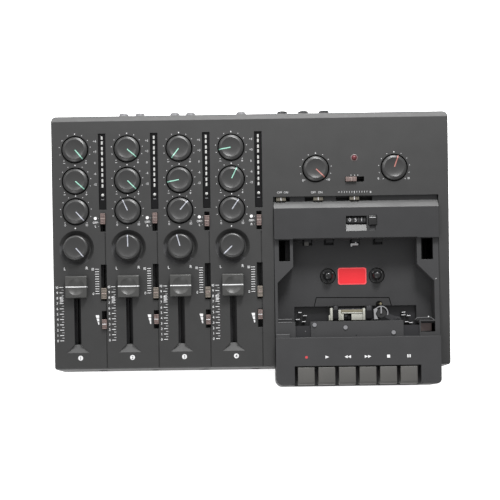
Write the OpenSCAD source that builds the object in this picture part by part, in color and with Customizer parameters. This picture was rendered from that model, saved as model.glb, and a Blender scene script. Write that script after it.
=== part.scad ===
// Four track cassette recorder: sloping mixer panel on the left, raised
// tape deck block on the right, rear and front sockets.
// X runs along the channels, Y to the rear, Z up. Z = 0 is the surface it stands on.
// Places on the panel are given as x and d, where d is the distance from the
// rear fold of the panel, measured down the slope towards the front rim.

/* [Case] */
// Width of the case
body_w = 340; // [339:0.5:342]
// Length of the sloping panel from the rear fold to the front rim
panel_len = 212; // [211.5:0.1:212.5]
// Slope of the panel in degrees
panel_slope = 6; // [5.8:0.1:6.2]
// Height of the panel at the front rim
front_h = 41; // [40.5:0.1:42]
// Wall thickness of the case
wall = 2.5; // [2.3:0.1:2.6]
// Height of the joint between the top and bottom cases
split_h = 12; // [11.5:0.1:12]
// Height of the rubber feet
foot_h = 3; // [2.5:0.1:3.5]

/* [Channels] */
// Distance from one channel to the next
ch_pitch = 44.6; // [44.4:0.1:44.8]
// Radius of the ring recess around a low knob
recess_r = 11.7; // [11.5:0.1:12]
// Radius of a low knob
knob_r = 10.7; // [10.2:0.1:10.9]
// Height of a low knob above the panel
knob_h = 2.5; // [2:0.5:4]
// Height of a pan knob above the panel
pan_h = 5.5; // [5:0.5:7]
// Length of a fader cap
cap_l = 19.2; // [18:0.2:20]
// Width of a fader cap
cap_w = 18.1; // [17:0.2:19]
// Height of a fader cap above the panel
cap_h = 5.5; // [5:0.5:7]

/* [Deck] */
// Width of the deck block
deck_w = 140.6; // [140.2:0.1:140.8]
// Drop of the deck top below the panel slope, in degrees
deck_tilt = 2; // [1.9:0.1:2.1]
// Depth of the door ledge below the deck top
ledge_h = 3.5; // [3:0.1:4]
// Depth of the cassette well below the deck top
well_h = 18.5; // [18.3:0.1:18.7]
// Distance between the reel spindles
hub_gap = 42.5; // [42.4:0.1:42.6]
// Width of a piano key
key_w = 14.3; // [13.5:0.1:14.8]
// Distance from one piano key to the next
key_pitch = 17.5; // [17.3:0.1:17.6]

/* [Hidden] */
$fn = 48;

a = panel_slope;
b = panel_slope - deck_tilt;
L = panel_len;
hw = body_w / 2;
yf = -103.5;                       // front rim
yr = 114.4;                        // rear face
yk = -120.4;                       // front of the deck block
tip = 120.4;                       // tips of the rear sockets
rise = 2.5;                        // deck top above the panel at its rear edge
dk = 77;                           // rear edge of the deck top
dx0 = 20;                          // left side of the deck block
dx1 = dx0 + deck_w;
ch_x0 = -149.6;
side_x = 23.1;                     // meters and sliders, from the channel's centre
mid_x = 88;                        // centre of the cassette
groove_w = -2.9;
floor_t = 2;

function cx(i) = ch_x0 + ch_pitch * i;
function kx(i) = 89.3 + key_pitch * (i - 2.5);
function P(d, w) = [yf + (L - d) * cos(a) - w * sin(a), front_h + (L - d) * sin(a) + w * cos(a)];
function D(d, w) = [P(dk, rise)[0] + (dk - d) * cos(b) - w * sin(b),
                    P(dk, rise)[1] + (dk - d) * sin(b) + w * cos(b)];

low_d = [23.9, 50.8, 76.9];        // high, low and aux knobs
pan_d = 108.1;
fader_d = 141.5;                   // faders at their upper end
high_at = [140, 131, -143, -101];  // pointers, clockwise from the rear
low_at = [132, 135, -102, 27];
aux_at = [138, -24, 42, 35];
pan_at = [139, 0, -15, -134];
rec_d = [83.4, 83.4, 86.4, 86.4];
gain_d = [173.65, 169.95, 170.95, 167.15];
front_jack_x = [-131, -86, -42, 3];
rear_jack_x = [29.2, 47.6, 65.8];
rca_x = [-110.4, -96, -65.3, -51.5, -7.1];
jack_z = 40;
input_z = 18.6;
posts = [[-162.5, -96], [163.6, -94], [-162.5, 103], [-30, 103], [95, 103], [163, 103]];
deck_posts = [[27.5, -112.5], [152.5, -112.5]];
shelf_screws = [[53.4, 176.8], [79.8, 179.4], [120.8, 184.2]];
feet = [[-150, -88], [-38, -88], [40, -104], [141, -104], [-150, 94], [0, 94], [150, 94]];

module on_panel(x = 0, d = 0, w = 0)
  translate([0, yf, front_h]) rotate([a, 0, 0]) translate([x, L - d, w]) children();
module on_deck(x = 0, d = 0, w = 0)
  translate([0, P(dk, rise)[0], P(dk, rise)[1]]) rotate([b, 0, 0]) translate([x, dk - d, w]) children();
// box from x0 to x1, d0 to d1 and w0 to w1 on the panel or on the deck
module pbox(x0, x1, d0, d1, w0, w1) on_panel(x0, d1, w0) cube([x1 - x0, d1 - d0, w1 - w0]);
module dbox(x0, x1, d0, d1, w0, w1) on_deck(x0, d1, w0) cube([x1 - x0, d1 - d0, w1 - w0]);
// outline in y and z drawn out along x
module along_x(x0, x1, pts) translate([x0, 0, 0]) rotate([90, 0, 90]) linear_extrude(x1 - x0) polygon(pts);
module slab(x0, y0, x1, y1, r, z0, z1) {
  translate([x0 + r, y0, z0]) cube([x1 - x0 - 2 * r, y1 - y0, z1 - z0]);
  translate([x0, y0 + r, z0]) cube([x1 - x0, y1 - y0 - 2 * r, z1 - z0]);
  for (x = [x0 + r, x1 - r], y = [y0 + r, y1 - r]) translate([x, y, z0]) cylinder(r = r, h = z1 - z0);
}

// ---------- cases ----------
module case_outer() intersection() {
  along_x(-hw, hw, [[yf - 0.8, split_h], [yf, front_h - 1.2], P(L - 1.2, 0), P(0, 0),
    [yr, P(0, 0)[1] - 8], [yr, split_h]]);
  slab(-hw, yf - 0.8, hw, yr, 3.2, 0, 100);
  on_panel(0, 0, 0) rotate([90, 0, 0]) translate([0, 0, -40]) linear_extrude(L + 80)
    polygon([[-hw, -90], [-hw, -1], [-hw + 1, 0], [hw - 1, 0], [hw, -1], [hw, -90]]);
}
module case_inner() along_x(-hw + wall, hw - wall, [[yf + wall - 0.8, split_h - 1], [yf + wall, P(L - wall, -wall)[1]],
  P(1.4, -wall), [yr - wall, P(0, 0)[1] - 9], [yr - wall, split_h - 1]]);

module knob_cup(x, d) on_panel(x, d, -4.5) cylinder(r = 12.9, h = 3);
module knob_hole(x, d) {
  on_panel(x, d, -3) cylinder(r = recess_r, h = 6);
  on_panel(x, d, -6) cylinder(r = 5, h = 6);
}
module fader_ramp(x) intersection() {
  along_x(x - 12, x + 12, [P(190.5, 1), P(190.5, -2.2), P(191, -2.2), P(198, 0), P(198, 1)]);
  on_panel(x, L, -5) linear_extrude(10) polygon([[-2.85, L - 190], [-2.85, L - 191], [-9.6, L - 198.2],
    [9.6, L - 198.2], [2.85, L - 191], [2.85, L - 190]]);
}

module top_case() color([0.24, 0.24, 0.26]) difference() {
  union() {
    difference() {
      case_outer();
      case_inner();
    }
    for (i = [0:3]) {
      for (d = low_d) knob_cup(cx(i), d);
      on_panel(cx(i), pan_d, -4.8) cylinder(r1 = 14, r2 = 16.6, h = 3.3);
      pbox(cx(i) - 11, cx(i) + 11, 189, 200, -4.5, -1);
      on_panel(cx(i) + 16.8, 36, -14.2) cylinder(r = 2.5, h = 13);
      on_panel(cx(i) + 12, 158, -14.2) cylinder(r = 2.5, h = 13);
    }
    knob_cup(56.4, 43.3);
    knob_cup(123.5, 43.3);
    on_panel(89.5, 60.5, -14.2) cylinder(r = 2.5, h = 13);
    for (p = posts) translate([p[0], p[1], split_h - 6])
      cylinder(r = 3.2, h = front_h + (p[1] - yf) * tan(a) - 1.5 - split_h + 6);
  }
  for (i = [0:3]) {
    for (d = low_d) knob_hole(cx(i), d);
    on_panel(cx(i), pan_d, -3) cylinder(r1 = 11.9, r2 = 15, h = 3);
    on_panel(cx(i), pan_d, -0.01) cylinder(r = 15, h = 5);
    on_panel(cx(i), pan_d, -8) cylinder(r = 5, h = 6);
    pbox(cx(i) - 2.85, cx(i) + 2.85, 139, 191, -10, 5);
    fader_ramp(cx(i));
    pbox(cx(i) + side_x - 3.2, cx(i) + side_x + 3.2, 10.5, 75.6, -10, 5);
    pbox(cx(i) + side_x - 2.25, cx(i) + side_x + 2.25, 78.5, 94.3, -10, 5);
    pbox(cx(i) + side_x - 2.5, cx(i) + side_x + 2.5, 122.5, 153.5, -10, 5);
    pbox(cx(i) + side_x - 2.2, cx(i) + side_x + 2.2, 162.3, 178, -10, 5);
    pbox(cx(i) + 24.4, cx(i) + 25.2, 95.5, 230, -0.7, 5);
  }
  knob_hole(56.4, 43.3);
  knob_hole(123.5, 43.3);
  on_panel(89.5, 34.4, -10) cylinder(r = 2.3, h = 20);
  pbox(81.5, 97.7, 50.5, 54.9, -10, 5);
  pbox(dx0 - 0.35, dx1 + 0.35, 66.8, L + 30, -60, 15);
  for (p = posts) translate([p[0], p[1], 0]) cylinder(r = 1.3, h = 26);
  for (x = front_jack_x) translate([x, yf - 2, input_z]) rotate([-90, 0, 0]) cylinder(r = 4.7, h = 7);
  for (x = rear_jack_x) translate([x, yr - 5, jack_z]) rotate([-90, 0, 0]) cylinder(r = 4.7, h = 8);
  for (x = rca_x) translate([x, yr - 5, jack_z]) rotate([-90, 0, 0]) cylinder(r = 4.3, h = 8);
}

module deck_round(z0, z1) {
  translate([dx0 + 6, yk, z0]) cube([deck_w - 10, 70 - yk, z1 - z0]);
  translate([dx0, yk + 6, z0]) cube([deck_w - 5, 64 - yk, z1 - z0]);
  translate([dx0 + 20, yk + 4, z0]) cube([deck_w - 20, 66 - yk, z1 - z0]);
  translate([dx0 + 6, yk + 6, z0]) cylinder(r = 6, h = z1 - z0);
  translate([dx1 - 4, yk + 4, z0]) cylinder(r = 4, h = z1 - z0);
}

module bottom_case() color([0.16, 0.16, 0.17]) difference() {
  union() {
    slab(-hw + 0.6, yf - 0.2, hw - 0.6, yr - 0.6, 3.2, foot_h, split_h - 0.3);
    translate([0, 0.6, 0]) deck_round(foot_h, split_h - 0.3);
  }
  difference() {
    union() {
      translate([-hw + 3.1, yf + 3.1, foot_h + 2.5]) cube([body_w - 6.2, yr - yf - 6.2, 20]);
      translate([dx0 + 3, yk + 3.1, foot_h + 2.5]) cube([deck_w - 6, 40, 20]);
    }
    for (p = posts) translate([p[0], p[1], 0]) cylinder(r = 4.4, h = split_h - 6.2);
    for (p = deck_posts) translate([p[0], p[1], 0]) cylinder(r = 4.4, h = split_h - 6.2);
  }
  for (p = posts) {
    translate([p[0], p[1], -1]) cylinder(r = 1.7, h = 20);
    translate([p[0], p[1], -1]) cylinder(r = 3.4, h = foot_h + 3);
  }
  for (p = deck_posts) {
    translate([p[0], p[1], -1]) cylinder(r = 1.7, h = 20);
    translate([p[0], p[1], -1]) cylinder(r = 3.4, h = foot_h + 3);
  }
  for (x = [-120:16:120]) translate([x, 10, 0]) cube([3, 50, 10]);
}

module well_outline(e, f) polygon([[36 - e, -26 + e], [36 - e, -50], [22.4 - f, -63.5], [22.4 - f, -97 - e],
  [156.4 + e, -97 - e], [156.4 + e, -63.5], [142 + e, -49], [142 + e, -26 + e]]);

module deck_housing() color([0.27, 0.27, 0.29]) difference() {
  union() {
    intersection() {
      difference() {
        along_x(dx0, dx1, [P(64.5, groove_w), P(70.6, groove_w), D(dk, 0), D(226.5, 0), [yk, D(226.5, 0)[1] - 2],
          [yk, split_h], [P(75, 0)[0], split_h], P(75, -9), P(64.5, -9)]);
        along_x(dx0 + 2.4, dx1 - 2.4, [P(60, groove_w - 2), P(71.4, groove_w - 2), D(dk + 0.9, -2.4), D(223.5, -2.4),
          [yk + 2.2, D(226.5, 0)[1] - 3.6], [yk + 2.2, split_h - 1], [P(60, 0)[0], split_h - 1]]);
        dbox(dx0 - 1, dx1 + 1, 103.5, 187.8, -ledge_h, 10);
      }
      deck_round(0, 100);
    }
    // door ledge with the cover's front wall and the step in front of the shelf
    dbox(dx0, dx1, 101.3, 190, -ledge_h - 2.4, -ledge_h);
    dbox(dx0, dx1, 101.3, 103.5, -ledge_h - 2.4, -0.5);
    dbox(dx0, dx1, 187.8, 190, -ledge_h - 2.4, -0.5);
    dbox(dx0 + 0.5, dx0 + 12, 184.5, 189, -ledge_h - 1, -0.1);
    on_deck(0, dk, -well_h - floor_t) linear_extrude(well_h + floor_t - ledge_h - 1) well_outline(2.4, 1.2);
    dbox(80, 109, 89.5, 98.5, -4.6, -1);
    for (p = deck_posts) translate([p[0], p[1], split_h - 6]) cylinder(r = 3.4, h = 40);
    // tray under the keys, open to the front
    intersection() {
      union() {
        dbox(33.8, 145.4, 210, 235, -22.9, -20.9);
        dbox(33.8, 145.4, 210, 212, -22.9, -14.6);
        dbox(33.8, 35.8, 210, 235, -22.9, -1);
        dbox(143.4, 145.4, 210, 235, -22.9, -1);
      }
      deck_round(0, 100);
    }
  }
  on_deck(0, dk, -well_h) linear_extrude(well_h + 5) well_outline(0, 0);
  // switch slots in the groove
  pbox(21.1, 34.1, 66.9, 70.5, -10, 0);
  pbox(46.9, 62.7, 66.9, 70.5, -10, 0);
  pbox(73.8, 104.8, 66.9, 70.5, -10, 0);
  // counter window with its ramp, reset button opening
  dbox(81.5, 99.2, 84.3, 91.6, -10, 5);
  along_x(81.6, 99.1, [D(91.4, 1), D(91.4, -2.2), D(97.4, 0.1), D(97.4, 1)]);
  dbox(100.3, 107.9, 84.1, 92.5, -10, 5);
  along_x(101.5, 106.7, [D(92.4, 1), D(92.4, -1.6), D(97, -1.2), D(97, 1)]);
  // door arm slots
  dbox(23.9, 33.4, 103.6, 122, -10, 0);
  dbox(145.7, 155.8, 103.6, 122, -10, 0);
  // spindle, capstan and sensing holes
  for (s = [-1, 1]) on_deck(mid_x + s * hub_gap / 2, 134.2, -well_h - 4) cylinder(r = 7, h = 8);
  on_deck(111, 159.3, -well_h - 4) cylinder(r = 3, h = 8);
  for (x = [49.2, 68, 90.6, 110.6]) dbox(x - 4.2, x + 4.2, 100, 107, -well_h - 4, -9);
  // head opening, lever recesses and latch pocket
  dbox(37, 143, 160.5, 186, -well_h - 4, -ledge_h - 2.4);
  dbox(37, 50, 160.5, 177.5, -well_h - 4, 0);
  dbox(129.5, 143.2, 160.5, 178, -well_h - 4, 0);
  dbox(37.2, 50.2, 177.5, 187.4, -ledge_h - 1.2, 0);
  dbox(129.5, 143, 178, 187.4, -ledge_h - 1.2, 0);
  dbox(144.2, 156.6, 175, 184, -10, 0);
  // key notch
  dbox(35.8, 143.4, 212, 235, -20.9, 5);
  for (p = deck_posts) translate([p[0], p[1], 0]) cylinder(r = 1.3, h = 28);
  for (p = shelf_screws) on_deck(p[0], p[1], -10) cylinder(r = 1.1, h = 12);
}

// ---------- inside ----------
module pot(x, d) on_panel(x, d, 0) difference() {
  union() {
    translate([-5.5, -5.5, -14.5]) cube([11, 11, 5]);
    translate([0, 0, -10]) cylinder(r = 4.6, h = 3);
  }
  translate([0, 0, -14.2]) cylinder(r = 3.07, h = 10);
}
module slide_pot(x, d0, d1, wd) difference() {
  pbox(x - wd / 2, x + wd / 2, d0, d1, -14.5, -8);
  pbox(x - 1.2, x + 1.2, d0 + 1.5, d1 - 1.5, -13, -7);
}
module cross_pot(x0, x1, d) difference() {
  pbox(x0, x1, d - 3, d + 3, -14.5, -9);
  pbox(x0 + 1, x1 - 1, d - 1.2, d + 1.2, -13, -8);
}
module mixer_board() color([0.1, 0.35, 0.2]) {
  on_panel(0, L, -16) linear_extrude(1.6) polygon([[-157, L - 200], [13, L - 200], [13, L - 73], [157, L - 73],
    [157, L - 15.6], [-157, L - 15.6]]);
  for (i = [0:3]) {
    for (d = low_d) pot(cx(i), d);
    pot(cx(i), pan_d);
    slide_pot(cx(i), 137, 195, 8.6);
    slide_pot(cx(i) + side_x, 121, 155, 7);
    slide_pot(cx(i) + side_x, 160, 180, 7);
    slide_pot(cx(i) + side_x, 77.6, 95.4, 7);
    pbox(cx(i) + side_x - 2.95, cx(i) + side_x + 2.95, 10.8, 75.3, -14.5, -0.8);
  }
  pot(56.4, 43.3);
  pot(123.5, 43.3);
  cross_pot(80, 99, 52.7);
  cross_pot(23, 36, 68.7);
  cross_pot(46, 64, 68.7);
  cross_pot(72, 107, 68.7);
  on_panel(89.5, 34.4, -14.5) {
    cylinder(r = 2.05, h = 14.6);
    translate([0, 0, 14.3]) intersection() {
      sphere(r = 2.05);
      translate([-3, -3, 0]) cube(6);
    }
  }
}

module tape_chassis() color([0.2, 0.2, 0.21]) difference() {
  union() {
    dbox(30, 150, 96, 189, -24, -22.5);
    for (s = [-1, 1]) on_deck(mid_x + s * hub_gap / 2, 134.2, -28) cylinder(r = 3.6, h = 5);
    on_deck(111, 159.3, -27.5) cylinder(r = 4, h = 4);
    // motor and its pulley, and the belt to the flywheel
    on_deck(52, 150, -40.5) cylinder(r = 13, h = 17);
    on_deck(52, 150, -44) cylinder(r = 5, h = 4);
    on_deck(0, dk, -42.6) linear_extrude(1.6) difference() {
      hull() {
        translate([111, -82.3]) circle(r = 21.2, $fn = 48);
        translate([52, -73]) circle(r = 6, $fn = 32);
      }
      hull() {
        translate([111, -82.3]) circle(r = 20.4, $fn = 48);
        translate([52, -73]) circle(r = 5, $fn = 32);
      }
    }
    // pinch arm pivot, key shaft with its two cheeks
    on_deck(126, 173.5, -23) cylinder(r = 2, h = 8.4);
    on_deck(126, 173.5, -15) cylinder(r = 1.5, h = 6);
    on_deck(36.2, 197, -9) rotate([0, 90, 0]) cylinder(r = 1.52, h = 106.4);
    dbox(33.6, 36.4, 188, 203, -24, -6.2);
    dbox(142.2, 145, 188, 203, -24, -6.2);
    // counter drum behind its window
    on_deck(82.3, 87.4, -5.7) rotate([0, 90, 0]) cylinder(r = 4.1, h = 16.1);
    dbox(80.7, 82, 82.5, 93.5, -24, -5);
    dbox(98.7, 100, 82.5, 93.5, -24, -5);
    dbox(80.7, 100, 92, 97, -24, -22.5);
    on_deck(81.5, 87.4, -5.7) rotate([0, 90, 0]) cylinder(r = 1.2, h = 18);
    // sensing levers at the back of the well
    for (x = [49.2, 68, 90.6, 110.6]) {
      dbox(x - 1.5, x + 1.5, 101, 102.4, -23, -11);
      dbox(x - 3, x + 3, 101, 105.5, -12, -11);
    }
    // guide rails of the head bridge
    dbox(65.4, 67.7, 176, 186, -23, -15.6);
    dbox(105.3, 107.6, 176, 186, -23, -15.6);
  }
  for (s = [-1, 1]) on_deck(mid_x + s * hub_gap / 2, 134.2, -30) cylinder(r = 1.55, h = 12);
  on_deck(111, 159.3, -30) cylinder(r = 1.3, h = 12);
}

// out is how far the collar stands out of the wall
module quarter_jack(out, nut) difference() {
  union() {
    translate([-7, -5.5, -wall - 19.6]) cube([14, 11, 19.6]);
    translate([0, 0, -wall - 0.1]) cylinder(r = 4.6, h = wall + 0.1 + out);
    if (nut) difference() {
      cylinder(r = 6.2, h = 2.2, $fn = 6);
      translate([0, 0, -1]) cylinder(r = 4.6, h = 5);
    }
  }
  translate([0, 0, -wall - 17]) cylinder(r = 3.25, h = 30);
}
module phone_jacks() color([0.08, 0.08, 0.09]) {
  for (x = rear_jack_x) translate([x, yr, jack_z]) rotate([-90, 0, 0]) quarter_jack(5.8, true);
  for (x = front_jack_x) translate([x, yf, input_z]) rotate([90, 0, 0]) quarter_jack(0.9, false);
}
module rca_jacks() color([0.75, 0.75, 0.77]) for (x = rca_x) translate([x, yr, jack_z]) rotate([-90, 0, 0]) difference() {
  union() {
    translate([-6, -5.5, -wall - 12]) cube([12, 11, 12]);
    translate([0, 0, -wall - 0.1]) cylinder(r = 4.15, h = wall + 0.1 + tip - yr);
    cylinder(r = 5.4, h = 0.8);
  }
  translate([0, 0, -2]) cylinder(r = 1.65, h = 20);
}
module rubber_feet() color([0.1, 0.1, 0.1]) for (p = feet) translate([p[0], p[1], 0]) {
  cylinder(r1 = 7.2, r2 = 8, h = 1);
  translate([0, 0, 1]) cylinder(r = 8, h = foot_h - 1);
}
module case_screws() color([0.6, 0.6, 0.62]) {
  for (p = concat(posts, deck_posts)) translate([p[0], p[1], foot_h + 0.2]) difference() {
    union() {
      cylinder(r = 3, h = 1.8);
      cylinder(r = 1.25, h = 14);
    }
    translate([-2, -0.4, -1]) cube([4, 0.8, 1.8]);
    translate([-0.4, -2, -1]) cube([0.8, 4, 1.8]);
  }
  for (p = shelf_screws) on_deck(p[0], p[1], -ledge_h) difference() {
    union() {
      cylinder(r = 1.7, h = 0.8);
      translate([0, 0, -3.5]) cylinder(r = 1.05, h = 4);
    }
    translate([-1.2, -0.25, 0.4]) cube([2.4, 0.5, 1]);
    translate([-0.25, -1.2, 0.4]) cube([0.5, 2.4, 1]);
  }
}

// ---------- knobs, faders and switches ----------
module low_knob(x, d, at) on_panel(x, d, 0) rotate([0, 0, -at]) difference() {
  rotate_extrude() polygon([[0, -13.8], [3, -13.8], [3, -2.6], [knob_r, -2.6], [knob_r, knob_h - 1],
    [knob_r - 0.8, knob_h], [knob_r - 2.2, knob_h], [0, knob_h - 0.8]]);
  translate([-0.5, 3.5, knob_h - 0.9]) cube([1, 5.8, 2]);
}
module pan_knob(x, at) on_panel(x, pan_d, 0) rotate([0, 0, -at]) difference() {
  rotate_extrude() polygon([[0, -13.8], [3, -13.8], [3, -2.6], [10.9, -2.6], [10.7, pan_h - 0.9],
    [9.9, pan_h], [8.5, pan_h], [0, pan_h - 0.8]]);
  translate([-0.5, 3.5, pan_h - 0.9]) cube([1, 5.8, 2]);
}
module fader(i) color([0.2, 0.2, 0.21]) {
  difference() {
    along_x(cx(i) - cap_w / 2, cx(i) + cap_w / 2, [P(fader_d + cap_l / 2, 0.6), P(fader_d + cap_l / 2 - 0.3, cap_h - 0.8),
      P(fader_d + cap_l / 2 - 1, cap_h), P(fader_d - cap_l / 2 + 1, cap_h), P(fader_d - cap_l / 2 + 0.3, cap_h - 0.8),
      P(fader_d - cap_l / 2, 0.6)]);
    on_panel(cx(i), fader_d, cap_h + 10.6) sphere(r = 12.8, $fn = 64);
  }
  pbox(cx(i) - 0.7, cx(i) + 0.7, fader_d - 1.5, fader_d + 1.5, -12, 1);
}
module tab(x, d, wx, wd, w0, w1, stem_x, stem_d) {
  difference() {
    pbox(x - wx / 2, x + wx / 2, d - wd / 2, d + wd / 2, w0, w1);
    if (wd > wx) pbox(x - wx, x + wx, d - 0.5, d + 0.5, w1 - 0.4, w1 + 1);
    else pbox(x - 0.5, x + 0.5, d - wd, d + wd, w1 - 0.4, w1 + 1);
  }
  pbox(x - stem_x / 2, x + stem_x / 2, d - stem_d / 2, d + stem_d / 2, -12, w0 + 0.2);
}
module cue_slider(i) color([0.55, 0.5, 0.5]) tab(cx(i) + side_x, 147.4, 4.4, 9.2, -1.8, 2.2, 1.2, 3);
module gain_slider(i) color([0.6, 0.58, 0.58]) tab(cx(i) + side_x, gain_d[i], 3.9, 8.2, -1.8, 2.2, 1.2, 3);
module rec_switch(i) color([0.8, 0.72, 0.72]) tab(cx(i) + side_x, rec_d[i], 4, 9, -1.8, 2.2, 1.2, 3);

// ---------- tape transport ----------
module piano_key(i) color([0.4, 0.4, 0.41]) difference() {
  along_x(kx(i) - key_w / 2, kx(i) + key_w / 2, [D(194, -11), D(194, -6.2), D(197, -5.6), D(213, -5.6), D(213, 0),
    D(226, 0), D(227.8, -1.6), D(228.4, -4), D(227.8, -13), D(216, -13), D(213, -11)]);
  on_deck(kx(i) - 20, 197, -9) rotate([0, 90, 0]) cylinder(r = 1.6, h = 40);
}
module counter_reset() color([0.1, 0.1, 0.1]) {
  dbox(100.6, 107.6, 84.4, 92.2, -3, 0.8);
  dbox(102.5, 105.7, 86.7, 89.9, -16, -2.9);
}
module reel_spindle(x) color([0.06, 0.06, 0.07]) on_deck(x, 134.2, 0) {
  rotate_extrude() polygon([[0, -29.5], [1.5, -29.5], [1.5, -22.2], [10, -22.2], [10, -20.9], [6.3, -20.9],
    [6.3, -18.4], [3.9, -18.4], [3.9, -13.6], [2.2, -11.6], [0, -11.4]]);
  for (k = [0:2]) rotate([0, 0, 60 + 120 * k]) translate([-0.6, 0, -18.5]) cube([1.2, 5.2, 4.6]);
  translate([0, 0, -29.4]) cylinder(r = 3, h = 1);
}
module head_bridge() color([0.85, 0.84, 0.78]) {
  dbox(68, 105, 162.8, 184, -17.7, -16.5);
  dbox(68, 70.3, 164.2, 172.6, -17, -9);
  dbox(69, 72.6, 162.6, 172.6, -17, -10.5);
  dbox(78, 98.2, 167.8, 172.6, -17, -10.5);
  dbox(96.6, 99, 163.6, 172.6, -17, -9);
  // erase head and record and play head
  dbox(72.6, 76.6, 159.4, 171.4, -16.6, -7.5);
  dbox(99, 105, 159.4, 171.4, -16.6, -7.5);
  dbox(78, 95, 165.4, 168, -16.6, -12);
}
module pinch_arm() color([0.7, 0.7, 0.72]) difference() {
  union() {
    on_deck(0, dk, -14.2) linear_extrude(1.4) polygon([[108.8, -90.2], [111, -88], [126.8, -94], [128.6, -96.5],
      [126, -99], [123.4, -98.6]]);
    on_deck(126, 173.5, -14.2) cylinder(r = 3, h = 3);
    on_deck(111, 167.2, -14) cylinder(r = 0.8, h = 7.6);
    on_deck(111, 167.2, -6.8) difference() {
      cylinder(r = 6, h = 0.8);
      translate([0, 0, -1]) cylinder(r = 5.2, h = 3);
      translate([-8, -12, -1]) cube([16, 10, 3]);
    }
    on_deck(111, 167.2, -6.8) translate([-0.6, -0.6, 0]) cube([1.2, 6.2, 0.8]);
  }
  on_deck(126, 173.5, -16) cylinder(r = 1.56, h = 8);
}
module pinch_roller() color([0.12, 0.12, 0.12]) on_deck(111, 167.2, -12.6) difference() {
  cylinder(r = 4.4, h = 5.5);
  translate([0, 0, -1]) cylinder(r = 0.86, h = 8);
}
module capstan_flywheel() color([0.7, 0.68, 0.6]) on_deck(111, 159.3, 0) rotate_extrude()
  polygon([[0, -43.5], [20, -43.5], [20, -39.5], [2.5, -39.5], [2.5, -27.8], [1.25, -27.8], [1.25, -8.4], [0.9, -8], [0, -8]]);

top_case();
bottom_case();
deck_housing();
mixer_board();
tape_chassis();
rca_jacks();
phone_jacks();
rubber_feet();
case_screws();
for (i = [0:3]) {
  color([0.2, 0.2, 0.21]) low_knob(cx(i), low_d[0], high_at[i]);
  color([0.2, 0.2, 0.21]) low_knob(cx(i), low_d[1], low_at[i]);
  color([0.2, 0.2, 0.21]) low_knob(cx(i), low_d[2], aux_at[i]);
  color([0.2, 0.2, 0.21]) pan_knob(cx(i), pan_at[i]);
  fader(i);
  cue_slider(i);
  gain_slider(i);
  rec_switch(i);
}
color([0.2, 0.2, 0.21]) low_knob(56.4, 43.3, 135);  // knob_aux_return
color([0.2, 0.2, 0.21]) low_knob(123.5, 43.3, 19);  // knob_monitor
color([0.5, 0.42, 0.42]) tab(86.5, 52.7, 9.3, 3.8, -1.8, 2.2, 3, 1.2);  // monitor_select
color([0.7, 0.68, 0.62]) tab(26.4, 68.7, 8.2, 3.1, -5, -0.6, 3, 1.2);  // zero_stop_switch
color([0.7, 0.68, 0.62]) tab(58.3, 68.7, 8.2, 3.1, -5, -0.6, 3, 1.2);  // noise_switch
color([0.7, 0.68, 0.62]) tab(89.3, 68.7, 8.2, 3.1, -5, -0.6, 3, 1.2);  // pitch_slider
piano_key(0);  // key_record
piano_key(1);  // key_play
piano_key(2);  // key_rewind
piano_key(3);  // key_forward
piano_key(4);  // key_stop
piano_key(5);  // key_pause
counter_reset();
reel_spindle(mid_x - hub_gap / 2);  // reel_spindle_left
reel_spindle(mid_x + hub_gap / 2);  // reel_spindle_right
head_bridge();
pinch_arm();
pinch_roller();
capstan_flywheel();
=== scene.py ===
import math
import bpy
import bmesh
from mathutils import Matrix, Vector


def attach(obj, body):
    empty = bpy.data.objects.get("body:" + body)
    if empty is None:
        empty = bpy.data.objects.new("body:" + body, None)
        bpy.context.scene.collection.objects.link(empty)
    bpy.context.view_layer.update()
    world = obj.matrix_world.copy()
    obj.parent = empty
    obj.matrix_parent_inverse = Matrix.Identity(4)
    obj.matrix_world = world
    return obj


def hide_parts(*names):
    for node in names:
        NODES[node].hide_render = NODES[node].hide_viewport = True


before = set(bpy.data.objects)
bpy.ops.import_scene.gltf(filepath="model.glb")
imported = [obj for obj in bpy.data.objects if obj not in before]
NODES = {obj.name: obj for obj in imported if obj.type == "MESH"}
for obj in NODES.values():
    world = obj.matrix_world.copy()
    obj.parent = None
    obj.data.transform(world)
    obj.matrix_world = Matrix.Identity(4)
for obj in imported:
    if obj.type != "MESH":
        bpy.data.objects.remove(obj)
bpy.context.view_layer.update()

# ---------------------------------------------------------------- places
A, B, L, YF, FH = math.radians(6), math.radians(4), 212.0, -103.5, 41.0


def P(d, w):
    return (YF + (L - d) * math.cos(A) - w * math.sin(A), FH + (L - d) * math.sin(A) + w * math.cos(A))


O = P(77, 2.5)


def D(d, w):
    return (O[0] + (77 - d) * math.cos(B) - w * math.sin(B), O[1] + (77 - d) * math.sin(B) + w * math.cos(B))


def place(at, x, lean, turn):
    return (Matrix.Scale(0.001, 4) @ Matrix.Translation((x, at[0], at[1])) @ Matrix.Rotation(lean, 4, "X")
            @ Matrix.Rotation(math.radians(-turn), 4, "Z"))


def panel(x=0.0, d=0.0, w=0.0, turn=0.0):
    """Millimetres on the panel: x to the right, y up the slope, z out of it."""
    return place(P(d, w), x, A, turn)


def deck(x=0.0, d=0.0, w=0.0, turn=0.0):
    return place(D(d, w), x, B, turn)


def cx(i):
    return -149.6 + 44.6 * i


SIDE = 23.1
LOW_D = (23.9, 50.8, 76.9)
PAN_D = 108.1
FADER_D = 141.5
MASTER_D = 43.3
KNOB_H, PAN_H, CAP_H = 2.5, 5.5, 5.5
HIGH = (140, 131, -143, -101)
LOWS = (132, 135, -102, 27)
AUX = (138, -24, 42, 35)
PAN = (139, 0, -15, -134)
REC_D = (83.4, 83.4, 86.4, 86.4)
GAIN_D = (173.65, 169.95, 170.95, 167.15)


# ---------------------------------------------------------------- finishes
def lin(c):
    return tuple(((v / 255) / 12.92 if v / 255 <= 0.04045 else ((v / 255 + 0.055) / 1.055) ** 2.4) for v in c) + (1.0,)


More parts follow.
